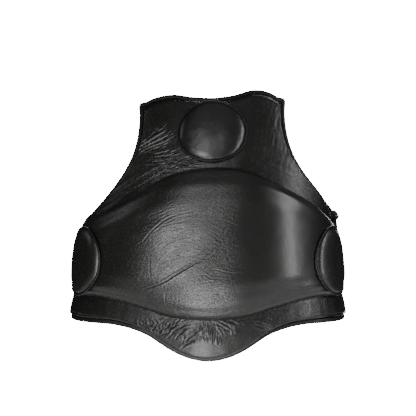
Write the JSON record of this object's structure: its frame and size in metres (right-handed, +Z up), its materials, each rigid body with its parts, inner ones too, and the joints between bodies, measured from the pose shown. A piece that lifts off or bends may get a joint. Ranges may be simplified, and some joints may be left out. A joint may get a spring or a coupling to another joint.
{
  "type": "boxing body protector",
  "caption": "Padded black leather body protector with a raised belly pad, round target pads, bound edges and a webbing harness, shaped as worn.",
  "frame": {"origin": "on the wearer's axis, in the middle of the torso hollow", "axes": "+Z up along the wearer's trunk, -Y out of the front, +X to the right as seen from the front"},
  "size_m": [0.5224, 0.3873, 0.4946],
  "materials": {
    "black_leather": "semi-gloss black grained leather over foam",
    "binding_leather": "folded black leather binding, satin",
    "webbing": "ribbed black webbing",
    "slider_plastic": "matte black moulded plastic"
  },
  "bodies": {
    "root": {"body_shell": "black_leather", "belly_pad": "black_leather", "edge_binding": "binding_leather", "chest_target": "black_leather", "left_target": "black_leather", "right_target": "black_leather", "chest_welt": "black_leather", "left_welt": "black_leather", "right_welt": "black_leather", "shoulder_strap_left": "webbing", "shoulder_strap_right": "webbing", "strap_slider_left": "slider_plastic", "strap_slider_right": "slider_plastic", "back_belt_left": "webbing", "back_belt_right": "webbing", "back_clasp": "slider_plastic"}
  },
  "joints": []
}
